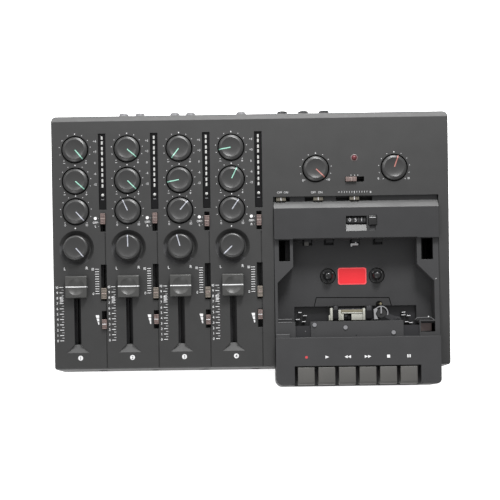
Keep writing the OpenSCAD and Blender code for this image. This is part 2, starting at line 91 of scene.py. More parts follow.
def finish(name, rgb, rough=0.5, metal=0.0, var=0.08, scale=70.0, grain=1500.0, bump=0.1, bevel=0.0,
           spec=0.5, coat=0.0, rvar=0.05, glow=0.0, stretch=None, rgb2=None):
    m = bpy.data.materials.new(name)
    m.use_nodes = True
    nodes, link = m.node_tree.nodes, m.node_tree.links.new
    shader = nodes["Principled BSDF"]
    tc = nodes.new("ShaderNodeTexCoord")
    source = tc.outputs["Object"]
    if stretch:
        mp = nodes.new("ShaderNodeMapping")
        mp.inputs["Scale"].default_value = stretch
        link(source, mp.inputs["Vector"])
        source = mp.outputs["Vector"]
    big = nodes.new("ShaderNodeTexNoise")
    big.inputs["Scale"].default_value = scale
    big.inputs["Detail"].default_value = 3
    link(source, big.inputs["Vector"])
    fine = nodes.new("ShaderNodeTexNoise")
    fine.inputs["Scale"].default_value = grain
    fine.inputs["Detail"].default_value = 2
    link(source, fine.inputs["Vector"])
    blend = nodes.new("ShaderNodeMath")
    blend.operation = "MULTIPLY_ADD"
    blend.inputs[1].default_value = 0.45
    link(fine.outputs["Fac"], blend.inputs[0])
    half = nodes.new("ShaderNodeMath")
    half.operation = "MULTIPLY"
    half.inputs[1].default_value = 0.55
    link(big.outputs["Fac"], half.inputs[0])
    link(half.outputs[0], blend.inputs[2])
    base = lin(rgb)
    other = lin(rgb2) if rgb2 else base
    ramp = nodes.new("ShaderNodeValToRGB")
    ramp.color_ramp.elements[0].position = 0.3
    ramp.color_ramp.elements[1].position = 0.7
    ramp.color_ramp.elements[0].color = tuple(v * (1 - var) for v in base[:3]) + (1.0,)
    ramp.color_ramp.elements[1].color = tuple(min(1.0, v * (1 + var)) for v in other[:3]) + (1.0,)
    link(blend.outputs[0], ramp.inputs["Fac"])
    link(ramp.outputs["Color"], shader.inputs["Base Color"])
    rr = nodes.new("ShaderNodeMapRange")
    rr.inputs["To Min"].default_value = max(0.03, rough - rvar)
    rr.inputs["To Max"].default_value = min(1.0, rough + rvar)
    link(big.outputs["Fac"], rr.inputs["Value"])
    link(rr.outputs["Result"], shader.inputs["Roughness"])
    shader.inputs["Metallic"].default_value = metal
    shader.inputs["Specular IOR Level"].default_value = spec
    shader.inputs["Coat Weight"].default_value = coat
    bp = nodes.new("ShaderNodeBump")
    bp.inputs["Strength"].default_value = bump
    bp.inputs["Distance"].default_value = 0.0001
    link(fine.outputs["Fac"], bp.inputs["Height"])
    if bevel:
        bv = nodes.new("ShaderNodeBevel")
        bv.samples = 4
        bv.inputs["Radius"].default_value = bevel
        link(bv.outputs["Normal"], bp.inputs["Normal"])
    link(bp.outputs["Normal"], shader.inputs["Normal"])
    if glow:
        link(ramp.outputs["Color"], shader.inputs["Emission Color"])
        shader.inputs["Emission Strength"].default_value = glow
    return m


MAT = {
    "case": finish("case_plastic", (47, 47, 47), 0.55, bevel=0.0005, bump=0.3, spec=0.3),
    "base": finish("base_plastic", (32, 32, 33), 0.6, bevel=0.0005, bump=0.3, spec=0.3),
    "deck": finish("deck_plastic", (49, 49, 50), 0.55, bevel=0.0005, bump=0.3, spec=0.3),
    # painted shade: a darker copy of the deck finish for the deck top, taking back the extra light that falls on it
    "deck_top_painted_shade": finish("cover_plastic_painted_shade", (42, 42, 43), 0.55, bevel=0.0005, bump=0.3, spec=0.25),
    # painted shade: near-black finish laid on the knob recess faces in place of their shade; the same finish prints
    # the black channel numbers
    "recess": finish("recess_shade_and_print_black", (17, 17, 18), 0.6, bump=0.2, spec=0.2),
    # painted shade: a darker copy of the deck finish for the faces inside the cassette well
    "well": finish("well_plastic_painted_shade", (45, 45, 46), 0.55, bevel=0.0004, bump=0.3, spec=0.3),
    # painted light: lighter finish for the rear-facing ramps at the fader slot ends and before the counter, standing
    # for the rear light on them
    "ramp": finish("ramp_plastic_painted_light", (66, 66, 66), 0.5, bump=0.3),
    # painted light: lighter finish for the pan dish faces turned to the rear and right, standing for their lit
    # crescent
    "dish": finish("dish_plastic_painted_light", (64, 64, 65), 0.5, bump=0.25),
    "sub": finish("shelf_pad", (34, 34, 36), 0.6, bump=0.25, spec=0.25),
    # painted light: a lighter copy of the deck finish for its rear-facing slope, which catches the rear light
    "slope": finish("slope_plastic_painted_light", (53, 53, 53), 0.5, bump=0.3),
    "seam": finish("seam_dark", (8, 8, 9), 0.7, bump=0.05, spec=0.1),
    "pocket": finish("pocket_plastic", (128, 114, 112), 0.6, bump=0.3),
    # painted highlight: light grey for thin lines and ribs where edges catch the rear light
    "light_edge": finish("light_plastic_painted_highlight", (100, 100, 101), 0.45, bump=0.2),
    "knob": finish("knob_plastic", (42, 42, 42), 0.38, bump=0.08),
    "knob_dark": finish("knob_dark", (20, 20, 22), 0.5, bump=0.05),
    "cap": finish("fader_plastic", (59, 59, 58), 0.42, bump=0.1, spec=0.35),
    "key": finish("key_plastic", (74, 73, 71), 0.55, bump=0.2, spec=0.35),
    "pink": finish("slider_plastic", (112, 96, 92), 0.45, bump=0.1),
    "tan": finish("cue_plastic", (112, 105, 96), 0.45, bump=0.1),
    "pink_light": finish("slider_ridge", (146, 132, 127), 0.45, bump=0.1),
    # painted shade: dark finish laid in the grooves between the ridges of sliders and switches
    "pink_dark": finish("slider_groove_painted_shade", (74, 62, 62), 0.6, bump=0.1),
    "beige": finish("switch_plastic", (92, 89, 78), 0.45, bump=0.1),
    "gloss": finish("black_gloss", (16, 16, 17), 0.34, bump=0.03),
    "ivory": finish("bridge_ivory", (158, 158, 150), 0.45, bump=0.1),
    "khaki": finish("bridge_shadow", (104, 99, 82), 0.5, bump=0.1),
    "steel": finish("arm_steel", (176, 176, 178), 0.32, metal=1.0, bump=0.06, stretch=(1, 8, 1)),
    "dark_steel": finish("dark_steel", (58, 58, 60), 0.4, metal=0.5, bump=0.06),
    "head": finish("head_shell", (24, 24, 26), 0.3, metal=0.6, bump=0.05),
    "rubber": finish("roller_rubber", (26, 26, 27), 0.8, bump=0.2),
    "brass": finish("flywheel_metal", (150, 142, 118), 0.3, metal=1.0, bump=0.05),
    "chassis": finish("chassis_steel", (30, 30, 32), 0.45, metal=0.3, bump=0.1),
    "board": finish("board_laminate", (24, 84, 50), 0.5, bump=0.1, rgb2=(34, 104, 62)),
    "part": finish("board_parts", (26, 26, 28), 0.5, bump=0.1),
    "glass": finish("meter_window", (14, 14, 15), 0.35, bump=0.03, spec=0.15),
    "socket_metal": finish("socket_metal", (120, 120, 122), 0.42, metal=0.6, bump=0.04),
    "socket_black": finish("socket_black", (24, 24, 26), 0.4, bump=0.08),
    "foot": finish("foot_rubber", (22, 22, 22), 0.85, bump=0.3),
    "screw": finish("screw_steel", (170, 170, 174), 0.3, metal=1.0, bump=0.06),
    "white": finish("print_white", (205, 205, 206), 0.6, bump=0.05, var=0.05, spec=0.2),
    "faint": finish("print_faint", (172, 172, 173), 0.6, bump=0.05, var=0.08, spec=0.2),
    "pale": finish("pointer_pale", (160, 162, 170), 0.5, bump=0.04, var=0.06, spec=0.2),
    "dim": finish("print_dim", (104, 104, 106), 0.6, bump=0.05, var=0.08),
    "mint": finish("pointer_mint", (132, 178, 162), 0.5, bump=0.04, var=0.06),
    "mint_dark": finish("pointer_mint_edge", (26, 62, 50), 0.5, bump=0.04),
    "salmon": finish("pointer_salmon", (152, 100, 93), 0.5, bump=0.04, var=0.06),
    "salmon_dark": finish("pointer_salmon_edge", (72, 34, 30), 0.5, bump=0.04),
    "red": finish("print_red", (176, 54, 60), 0.5, bump=0.05, var=0.06),
    "label": finish("label_red", (204, 22, 34), 0.5, bump=0.05, var=0.04),
    "label_edge": finish("label_edge", (222, 74, 80), 0.5, bump=0.05, var=0.04),
    "lamp": finish("meter_lamp", (164, 164, 162), 0.4, bump=0.03, var=0.05, spec=0.2),
    "led": finish("power_lamp", (88, 34, 40), 0.45, bump=0.02, spec=0.4),
    "led_ring": finish("power_lamp_ring", (96, 84, 84), 0.4, bump=0.05),
}


# ---------------------------------------------------------------- building
def bevelled(verts, faces, bevel, seg, sharp=35.0):
    """A closed shape with its sharp edges rounded."""
    bm = bmesh.new()
    vs = [bm.verts.new(v) for v in verts]
    for f in faces:
        bm.faces.new([vs[k] for k in f])
    bmesh.ops.recalc_face_normals(bm, faces=bm.faces)
    bm.normal_update()
    if bevel:
        edges = [e for e in bm.edges if len(e.link_faces) == 2 and e.calc_face_angle(0) > math.radians(sharp)]
        bmesh.ops.bevel(bm, geom=edges, offset=bevel, offset_type="OFFSET", segments=seg, profile=0.5,
                        affect="EDGES", clamp_overlap=True)
    bm.verts.ensure_lookup_table()
    bm.verts.index_update()
    out = [tuple(v.co) for v in bm.verts], [[v.index for v in f.verts] for f in bm.faces]
    bm.free()
    return out


def box_shape(x0, x1, y0, y1, z0, z1):
    v = [(x, y, z) for z in (z0, z1) for y in (y0, y1) for x in (x0, x1)]
    return v, [(0, 2, 3, 1), (4, 5, 7, 6), (0, 1, 5, 4), (2, 6, 7, 3), (0, 4, 6, 2), (1, 3, 7, 5)]


def prism_shape(pts, z0, z1):
    n = len(pts)
    v = [(x, y, z0) for x, y in pts] + [(x, y, z1) for x, y in pts]
    return v, [tuple(range(n))[::-1], tuple(range(n, 2 * n))] + [(k, (k + 1) % n, n + (k + 1) % n, n + k) for k in range(n)]


def along_shape(x0, x1, pts):
    v, f = prism_shape(pts, x0, x1)
    return [(z, x, y) for x, y, z in v], f


def lathe_shape(pts, n):
    """pts are (radius, height) from one end of the axis to the other."""
    v, rings = [], []
    for r, z in pts:
        if r < 1e-6:
            rings.append([len(v)])
            v.append((0, 0, z))
        else:
            rings.append(list(range(len(v), len(v) + n)))
            v += [(r * math.cos(2 * math.pi * k / n), r * math.sin(2 * math.pi * k / n), z) for k in range(n)]
    faces, owner = [], []
    for s, (a, b) in enumerate(zip(rings, rings[1:])):
        for k in range(n):
            q = (k + 1) % n
            if len(a) == 1 and len(b) > 1:
                faces.append((a[0], b[k], b[q]))
            elif len(b) == 1 and len(a) > 1:
                faces.append((a[k], b[0], a[q]))
            elif len(a) > 1:
                faces.append((a[k], b[k], b[q], a[q]))
            else:
                continue
            owner.append(s)
    return v, faces, owner


def rim(points_per, x0, x1, y0, y1, r):
    """A rectangle with rounded corners, as points."""
    out = []
    for cx_, cy_, a0 in ((x1 - r, y1 - r, 0), (x0 + r, y1 - r, 90), (x0 + r, y0 + r, 180), (x1 - r, y0 + r, 270)):
        for k in range(points_per + 1):
            t = math.radians(a0 + 90 * k / points_per)
            out.append((cx_ + r * math.cos(t), cy_ + r * math.sin(t)))
    return out


def cut(shape, tool):
    """shape with tool taken away from it."""
    objs = []
    for n, (v, f) in (("cut_a", shape), ("cut_b", tool)):
        me = bpy.data.meshes.new(n)
        me.from_pydata([tuple(p) for p in v], [], [list(q) for q in f])
        bm = bmesh.new()
        bm.from_mesh(me)
        bmesh.ops.recalc_face_normals(bm, faces=bm.faces)
        bm.to_mesh(me)
        bm.free()
        o = bpy.data.objects.new(n, me)
        bpy.context.scene.collection.objects.link(o)
        objs.append(o)
    md = objs[0].modifiers.new("cut", "BOOLEAN")
    md.operation, md.solver, md.object = "DIFFERENCE", "EXACT", objs[1]
    got = bpy.data.meshes.new_from_object(objs[0].evaluated_get(bpy.context.evaluated_depsgraph_get()))
    out = [tuple(v.co) for v in got.vertices], [list(p.vertices) for p in got.polygons]
    for o in objs:
        me = o.data
        bpy.data.objects.remove(o)
        bpy.data.meshes.remove(me)
    bpy.data.meshes.remove(got)
    return out


GLYPH = {}


def glyph(ch):
    if ch not in GLYPH:
        cu = bpy.data.curves.new("glyph", "FONT")
        cu.body = ch
        cu.resolution_u = 3
        cu.offset = 0.004
        o = bpy.data.objects.new("glyph", cu)
        bpy.context.scene.collection.objects.link(o)
        me = bpy.data.meshes.new_from_object(o.evaluated_get(bpy.context.evaluated_depsgraph_get()))
        GLYPH[ch] = [(v.co.x, v.co.y) for v in me.vertices], [list(p.vertices) for p in me.polygons]
        bpy.data.objects.remove(o)
        bpy.data.curves.remove(cu)
        bpy.data.meshes.remove(me)
    return GLYPH[ch]


class Piece:
    def __init__(self):
        self.v, self.f, self.m, self.names = [], [], [], []

    def slot(self, mat):
        if mat not in self.names:
            self.names.append(mat)
        return self.names.index(mat)

    def add(self, M, shape, mat):
        n = len(self.v)
        self.v += [tuple(M @ Vector(p)) for p in shape[0]]
        self.f += [[n + k for k in q] for q in shape[1]]
        self.m += [self.slot(mat)] * len(shape[1]) if isinstance(mat, str) else [self.slot(k) for k in mat]

    def box(self, M, x0, x1, y0, y1, z0, z1, mat, bevel=0.0, seg=2):
        s = box_shape(x0, x1, y0, y1, z0, z1)
        self.add(M, bevelled(*s, bevel, seg) if bevel else s, mat)

    def prism(self, M, pts, z0, z1, mat, bevel=0.0, seg=2):
        s = prism_shape(pts, z0, z1)
        self.add(M, bevelled(*s, bevel, seg) if bevel else s, mat)

    def along(self, M, x0, x1, pts, mat, bevel=0.0, seg=2):
        s = along_shape(x0, x1, pts)
        self.add(M, bevelled(*s, bevel, seg) if bevel else s, mat)

    def lathe(self, M, pts, mats, n=48):
        v, f, owner = lathe_shape(pts, n)
        self.add(M, (v, f), mats if isinstance(mats, str) else [mats[k] for k in owner])

    def rect(self, M, x0, x1, y0, y1, mat, z=0.04):
        self.add(M, ([(x0, y0, z), (x1, y0, z), (x1, y1, z), (x0, y1, z)], [(0, 1, 2, 3)]), mat)

    def poly(self, M, pts, mat, z=0.04):
        self.add(M, ([(x, y, z) for x, y in pts], [tuple(range(len(pts)))]), mat)

    def line(self, M, pts, width, mat, z=0.04):
        for (xa, ya), (xb, yb) in zip(pts, pts[1:]):
            ln = math.hypot(xb - xa, yb - ya)
            nx, ny = -(yb - ya) / ln * width / 2, (xb - xa) / ln * width / 2
            self.add(M, ([(xa - nx, ya - ny, z), (xb - nx, yb - ny, z), (xb + nx, yb + ny, z), (xa + nx, ya + ny, z)],
                         [(0, 1, 2, 3)]), mat)

    def disc(self, M, x, y, r, mat, n=20, z=0.04, r0=0.0, a0=0.0, a1=360.0):
        full = abs(a1 - a0) >= 360
        k = n if full else n + 1
        ang = [math.radians(a0 + (a1 - a0) * q / n) for q in range(k)]
        if r0 <= 0:
            pts = [(x + r * math.cos(t), y + r * math.sin(t)) for t in ang]
            self.poly(M, pts if full else [(x, y)] + pts, mat, z)
            return
        v = [(x + q * math.cos(t), y + q * math.sin(t), z) for t in ang for q in (r0, r)]
        f = [(2 * s, 2 * s + 1, (2 * s + 3) % (2 * k), (2 * s + 2) % (2 * k)) for s in range(n)]
        self.add(M, (v, f), mat)

    def text(self, M, s, x, y, h, mat, z=0.05):
        """Plain signs and numbers, centred on x and y, h high."""
        parts, pen = [], 0.0
        ref = glyph("0")[0]
        top = max(p[1] for p in ref) - min(p[1] for p in ref)
        for ch in s:
            v, f = glyph(ch)
            lo, hi = min(p[0] for p in v), max(p[0] for p in v)
            parts.append(([(p[0] - lo + pen, p[1]) for p in v], f))
            pen += hi - lo + 0.09
        pen -= 0.09
        k = h / top
        for v, f in parts:
            self.add(M, ([(x + (a - pen / 2) * k, y + (b - top / 2) * k, z) for a, b in v], f), mat)

    def ribbon(self, M, path, width, mat, lift):
        """A strip over a profile of (y, z) points."""
        v = [(s * width / 2, y, z + lift) for y, z in path for s in (-1, 1)]
        self.add(M, (v, [(2 * k, 2 * k + 1, 2 * k + 3, 2 * k + 2) for k in range(len(path) - 1)]), mat)

    def done(self, name, body, slot=None, replaces=(), angle=32.0):
        me = bpy.data.meshes.new(name)
        me.from_pydata(self.v, [], self.f)
        for k in self.names:
            me.materials.append(MAT[k])
        me.polygons.foreach_set("material_index", self.m)
        me.polygons.foreach_set("use_smooth", [True] * len(self.f))
        me.update()
        me.set_sharp_from_angle(angle=math.radians(angle))
        o = bpy.data.objects.new(name, me)
        bpy.context.scene.collection.objects.link(o)
        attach(o, body)
        if replaces:
            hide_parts(*replaces)
        return o


# ---------------------------------------------------------------- fixed parts
def dress(node, mat):
    me = NODES[node].data
    me.materials.clear()
    me.materials.append(MAT[mat])
    return me


def paint(node, rules):
    """rules are (finish, test of the face's centre and normal in millimetres)."""
    me = NODES[node].data
    for mat, _ in rules:
        if MAT[mat].name not in [m.name for m in me.materials]:
            me.materials.append(MAT[mat])
    index = {m.name: k for k, m in enumerate(me.materials)}
    for p in me.polygons:
        for mat, test in rules:
            if test(p.center * 1000, p.normal):
                p.material_index = index[MAT[mat].name]
                break


def on_panel(c):
    """x, d and w of a point given in millimetres."""
    y, z = c.y - YF, c.z - FH
    return c.x, L - (y * math.cos(A) + z * math.sin(A)), -y * math.sin(A) + z * math.cos(A)


def on_deck(c):
    y, z = c.y - O[0], c.z - O[1]
    return c.x, 77 - (y * math.cos(B) + z * math.sin(B)), -y * math.sin(B) + z * math.cos(B)


# mask for the painted shade: faces inside the knob recesses get the near-black finish
def in_knob_recess(c, n):
    x, d, w = on_panel(c)
    spots = [(cx(i), q) for i in range(4) for q in LOW_D] + [(56.4, MASTER_D), (123.5, MASTER_D)]
    return -4.6 < w < -0.05 and any(math.hypot(x - a, d - b) < 11.9 for a, b in spots)


for node, mat in (("top_case", "case"), ("bottom_case", "base"), ("deck_housing", "deck"), ("mixer_board", "board"),
                  ("tape_chassis", "chassis"), ("rca_jacks", "socket_metal"), ("phone_jacks", "socket_black"),
                  ("rubber_feet", "foot"), ("case_screws", "screw")):
    dress(node, mat)


# mask for the painted light in the pan dishes: cone faces turned to the rear and right
def in_dish_lit_side(c, n):
    x, d, w = on_panel(c)
    return (w < -0.05 and any(11.95 < math.hypot(x - cx(i), d - PAN_D) < 15.2 for i in range(4))
            and 0.45 * n.x + 0.85 * n.y > 0.12)


# mask for the painted light on the rear-facing fader ramps
def in_fader_ramp(c, n):
    x, d, w = on_panel(c)
    return w < -0.05 and 190.6 < d < 198.6 and any(abs(x - cx(i)) < 10 for i in range(4)) and n.z > 0.5


paint("top_case", [("recess", in_knob_recess), ("dish", in_dish_lit_side), ("ramp", in_fader_ramp)])
paint("mixer_board", [("led", lambda c, n: abs(c.x - 89.5) < 2.4 and abs(on_panel(c)[1] - 34.4) < 2.4 and on_panel(c)[2] > -4),
                      ("glass", lambda c, n: on_panel(c)[2] > -7.5), ("part", lambda c, n: on_panel(c)[2] > -14.3)])
# painted shade on the deck top
paint("deck_housing", [("deck_top_painted_shade", lambda c, n: on_deck(c)[2] > -0.3 and 77.2 < on_deck(c)[1] < 103.4 and n.z > 0.95),
                       # painted light on the rear-facing slope of the deck
                       ("slope", lambda c, n: c.y > D(78, 0)[0] and n.y > 0.15 and n.z > 0.5),
                       # painted light on the rear-facing ramp before the counter
                       ("ramp", lambda c, n: 91.5 < on_deck(c)[1] < 97.5 and 81.5 < c.x < 99.2 and n.y > 0.1 and n.z > 0.5),
                       ("sub", lambda c, n: 177.4 < on_deck(c)[1] < 187.5 and on_deck(c)[2] < -3.9
                        and (37 < c.x < 50.3 or 129.4 < c.x < 143.1)),
                       # painted shade on the faces down in the cassette well
                       ("well", lambda c, n: on_deck(c)[2] < -4.0 and 100 < on_deck(c)[1] < 186)])


# ---------------------------------------------------------------- knobs
def knob_profile(top):
    dish = [(0.0, top - 1.1)] + [(r, top - 1.1 + 1.1 * (r / 8.2) ** 3) for r in (2.0, 3.6, 5.0, 6.2, 7.1, 7.8)]
    return dish + [(8.2, top), (8.45, top - 0.03), (8.75, top - 0.16), (10.15, top - 1.15), (10.5, top - 1.5),
                   (10.62, top - 1.95)]


def low_knob(name, x, d, at, tone):
    p, M = Piece(), panel(x, d, 0, at)
    prof = knob_profile(KNOB_H)
    p.lathe(M, prof + [(10.62, -2.6), (3.0, -2.6), (3.0, -13.8), (0.0, -13.8)], "knob", 64)
    path = [(r, z) for r, z in prof[:-1]]
    path[0] = (0.4, path[0][1])
    p.ribbon(M, path, 1.35, tone + "_dark" if tone != "pale" else "knob_dark", 0.03)
    p.ribbon(M, path, 0.86, tone, 0.06)
    p.done(name + "_body", name, "knob_plastic", [name])


def pan_knob(name, x, at):
    p, M = Piece(), panel(x, PAN_D, 0, at)
    t = PAN_H
    dish = [(0.0, t - 1.0)] + [(r, t - 1.0 + 1.0 * (r / 8.6) ** 3) for r in (2.0, 3.6, 5.0, 6.4, 7.4, 8.2)]
    prof = dish + [(8.6, t), (9.0, t - 0.02), (9.7, t - 0.25), (10.25, t - 0.75), (10.55, t - 1.4), (10.75, t - 4)]
    p.lathe(M, prof + [(10.88, -2.6), (3.0, -2.6), (3.0, -13.8), (0.0, -13.8)], "knob", 64)
    path = [(0.4, t - 1.0)] + prof[1:11]
    p.ribbon(M, path, 1.3, "knob_dark", 0.03)
    p.ribbon(M, path, 0.9, "pale", 0.06)
    p.done(name + "_body", name, "knob_plastic", [name])


for i in range(4):
    low_knob(f"knob_high_{i + 1}", cx(i), LOW_D[0], HIGH[i], "mint")
    low_knob(f"knob_low_{i + 1}", cx(i), LOW_D[1], LOWS[i], "mint")
    low_knob(f"knob_aux_{i + 1}", cx(i), LOW_D[2], AUX[i], "pale")
    pan_knob(f"knob_pan_{i + 1}", cx(i), PAN[i])
low_knob("knob_aux_return", 56.4, MASTER_D, 135, "salmon")
low_knob("knob_monitor", 123.5, MASTER_D, 19, "salmon")


# ---------------------------------------------------------------- faders, sliders and switches
def sphere_shape(r, z, n=64):
    pts = [(r * math.sin(math.pi * k / 48), z - r * math.cos(math.pi * k / 48)) for k in range(49)]
    pts[0], pts[-1] = (0.0, z - r), (0.0, z + r)
    v, f, _ = lathe_shape(pts, n)
    return v, f


cap = along_shape(-9.05, 9.05, [(-9.6, 0.6), (-9.3, CAP_H - 0.8), (-8.6, CAP_H), (8.6, CAP_H), (9.3, CAP_H - 0.8), (9.6, 0.6)])
CAP = cut(bevelled(*cap, 0.45, 3, 12.0), sphere_shape(12.8, CAP_H + 10.6))
for i in range(4):
    p, M = Piece(), panel(cx(i), FADER_D)
    p.add(M, CAP, "cap")
    p.box(M, -0.7, 0.7, -1.5, 1.5, -12, 1.0, "knob_dark")
    n, top = 36, CAP_H
    line = []
    for k in range(n + 1):
        x = -8.85 + 17.7 * k / n
        q = 12.8 ** 2 - x * x
        line.append((x, min(top, top + 10.6 - math.sqrt(q))))
    v = [(x, y, z + 0.05) for x, z in line for y in (-0.45, 0.45)]
    p.add(M, (v, [(2 * k, 2 * k + 2, 2 * k + 3, 2 * k + 1) for k in range(n)]), "white")
    for s in (-1, 1):
        p.add(M, ([(s * 9.09, -0.45, 0.9), (s * 9.09, 0.45, 0.9), (s * 9.09, 0.45, top - 0.4), (s * 9.09, -0.45, top - 0.4)],
                  [(0, 1, 2, 3)]), "faint")
    p.done(f"fader_{i + 1}_cap", f"fader_{i + 1}", "fader_plastic", [f"fader_{i + 1}"])


def tab(name, x, d, wx, wd, w0, w1, stem_x, stem_d, mat, ridge, groove, count, slot):
    """A slider or switch knob with ridges across its travel."""
    p, M = Piece(), panel(x, d)
    p.box(M, -wx / 2, wx / 2, -wd / 2, wd / 2, w0, w1 - 0.45, mat, 0.25, 2)
    p.box(M, -stem_x / 2, stem_x / 2, -stem_d / 2, stem_d / 2, -12, w0 + 0.3, "knob_dark")
    long_y = wd > wx
    span = (wd if long_y else wx) - 1.2
    for k in range(count):
        c = -span / 2 + span * k / (count - 1)
        mid = k == count // 2
        h = 0.0 if mid else -0.12
        r = (-wx / 2 + 0.15, wx / 2 - 0.15, c - 0.28, c + 0.28) if long_y else (c - 0.28, c + 0.28, -wd / 2 + 0.12, wd / 2 - 0.12)
        p.box(M, *r, w1 - 0.6, w1 + h, ridge if mid else mat, 0.12, 1)
        if k < count - 1:
            g = c + span / (count - 1) / 2
            r = (-wx / 2 + 0.3, wx / 2 - 0.3, g - 0.16, g + 0.16) if long_y else (g - 0.16, g + 0.16, -wd / 2 + 0.25, wd / 2 - 0.25)
            # painted shade on the groove floor between two ridges
            p.rect(M, *r, groove, w1 - 0.43)
    p.done(name + "_knob", name, slot, [name])


for i in range(4):
    x = cx(i) + SIDE
    tab(f"cue_slider_{i + 1}", x, 147.4, 4.4, 9.2, -1.8, 2.2, 1.2, 3, "tan", "pink_light", "pink_dark", 7, "slider_plastic")
    tab(f"gain_slider_{i + 1}", x, GAIN_D[i], 3.9, 8.2, -1.8, 2.2, 1.2, 3, "pink", "white", "pink_dark", 7, "slider_plastic")
    tab(f"rec_switch_{i + 1}", x, REC_D[i], 4, 9, -1.8, 2.2, 1.2, 3, "pink", "pink_light", "pink_dark", 7, "slider_plastic")
tab("monitor_select", 86.5, 52.7, 9.3, 3.8, -1.8, 2.2, 3, 1.2, "pink", "pink_light", "pink_dark", 7, "slider_plastic")
for n, x in (("zero_stop_switch", 26.4), ("noise_switch", 58.3), ("pitch_slider", 89.3)):
    tab(n, x, 68.7, 8.2, 3.1, -5, -0.6, 3, 1.2, "beige", "white", "pink_dark", 5, "switch_plastic")


# ---------------------------------------------------------------- keys, counter reset
for i, k in enumerate(("record", "play", "rewind", "forward", "stop", "pause")):
    p, M = Piece(), deck(89.3 + 17.5 * (i - 2.5), 0)
    p.along(M, -7.15, 7.15, [(-213, -11), (-213, -0.02), (-226, -0.02), (-227.6, -1.2), (-228.35, -3.4), (-227.8, -13), (-216, -13)],
            "key", 0.55, 3)
    arm = along_shape(-7.15, 7.15, [(-194, -11), (-194, -6.2), (-197, -5.6), (-213.5, -5.6), (-213.5, -11)])
    v, f, _ = lathe_shape([(0.0, -12.0), (1.6, -12.0), (1.6, 12.0), (0.0, 12.0)], 24)
    bore = [(z, x - 197, y - 9) for x, y, z in v], f
    p.add(M, cut(arm, bore), "key")
    p.done(f"key_{k}_cap", f"key_{k}", "key_plastic", [f"key_{k}"])

p, M = Piece(), deck(0, 0)
p.box(M, 100.6, 107.6, -92.2, -84.4, -3, 0.8, "gloss", 0.4, 3)
p.box(M, 102.5, 105.7, -89.9, -86.7, -16, -2.9, "gloss")
p.rect(M, 101.6, 106.6, -86.2, -85.7, "faint", 0.84)
p.done("counter_reset_button", "counter_reset", "black_gloss", ["counter_reset"])

# ---------------------------------------------------------------- transport
for n, x in (("reel_spindle_left", 88 - 21.25), ("reel_spindle_right", 88 + 21.25)):
    p, M = Piece(), deck(x, 134.2)
    p.lathe(M, [(0, -11.4), (1.2, -11.45), (2.2, -11.75), (3.0, -12.6), (3.7, -13.5), (3.9, -14.1), (3.9, -18.2), (4.1, -18.4),
                (5.9, -18.4), (6.3, -18.75), (6.3, -20.9), (9.8, -20.9), (10, -21.1), (10, -22.2), (1.5, -22.2), (1.5, -29.5),
                (0, -29.5)], "gloss", 48)
    for k in range(3):
        t = deck(x, 134.2, 0, 60 + 120 * k)
        p.box(t, -0.6, 0.6, 0.5, 5.15, -18.5, -13.95, "gloss", 0.25, 2)
    p.done(n + "_hub", n, "black_gloss", [n])

p, M = Piece(), deck(0, 0)
q = lambda x0, x1, d0, d1, w0, w1, mat, bv=0.25: p.box(M, x0, x1, -d1, -d0, w0, w1, mat, bv, 2)
q(68, 105, 162.8, 184, -17.7, -16.5, "dark_steel", 0.2)
q(67.6, 69.6, 162.4, 173.0, -17, -9, "ivory")
q(66.4, 69.0, 168.5, 173.0, -17, -10, "ivory")
q(69.9, 74.5, 160.2, 171.9, -16.6, -8, "head", 0.5)
q(70.6, 73.8, 160.8, 164.2, -8.3, -7.8, "dark_steel", 0.15)
q(74.6, 76.8, 164.0, 173.0, -17, -10.2, "ivory")
q(76.9, 96.4, 163.9, 166.4, -17, -10.6, "khaki", 0.3)
q(77.6, 95.6, 166.2, 167.2, -17, -10.0, "ivory", 0.2)
q(76.9, 79.2, 167.0, 173.0, -17, -10.5, "ivory")
q(79.0, 86.2, 167.0, 173.0, -17, -14.6, "head", 0.1)
q(80.0, 82.2, 168.2, 170.2, -15, -11.2, "dark_steel", 0.2)
q(83.0, 85.2, 169.4, 172.4, -15, -12.0, "head", 0.2)
q(86.0, 96.2, 167.0, 173.0, -17, -10.5, "ivory")
q(95.7, 97.6, 162.8, 173.0, -17, -9, "ivory")
q(97.8, 103.9, 160.6, 172.2, -16.6, -8, "head", 0.5)
q(98.8, 102.9, 161.2, 165.0, -8.3, -7.8, "dark_steel", 0.15)
p.done("head_bridge_body", "head_bridge", "bridge_ivory", ["head_bridge"])

p = Piece()
arm = [(108.8, -167.2), (111, -165), (126.8, -171), (128.6, -173.5), (126, -176), (123.4, -175.6)]
v, f, _ = lathe_shape([(0.0, -20.0), (1.56, -20.0), (1.56, -4.0), (0.0, -4.0)], 24)
p.add(M, cut(prism_shape(arm, -14.2, -12.8), ([(a + 126, b - 173.5, c) for a, b, c in v], f)), "dark_steel")
m2 = deck(126, 173.5)
p.lathe(m2, [(1.56, -14.2), (3, -14.2), (3, -11.4), (2.8, -11.2), (1.56, -11.2), (1.56, -14.2)], "dark_steel", 32)
p.prism(deck(0, 0), [(104.5, -164.0), (106.8, -162.9), (108.0, -164.2), (106.2, -168.0), (108.4, -172.6), (104.9, -172.8)],
        -6.8, -6.1, "steel", 0.15, 1)
p.box(deck(0, 0), 104.9, 108.2, -172.8, -172.0, -13.4, -6.2, "steel", 0.15, 1)
p.box(deck(0, 0), 106.5, 110.0, -172.6, -170.6, -14.1, -13.2, "dark_steel", 0.15, 1)
m2 = deck(111, 167.2)
p.lathe(m2, [(0, -14), (0.8, -14), (0.8, -6.6), (0.6, -6.4), (0, -6.4)], "steel", 20)
n = 28
v, f = [], []
for k in range(n + 1):
    t = math.radians(-20 + 220 * k / n)
    for r, z in ((5.2, -6.8), (6, -6.8), (6, -6.0), (5.2, -6.0)):
        v.append((r * math.cos(t), r * math.sin(t), z))
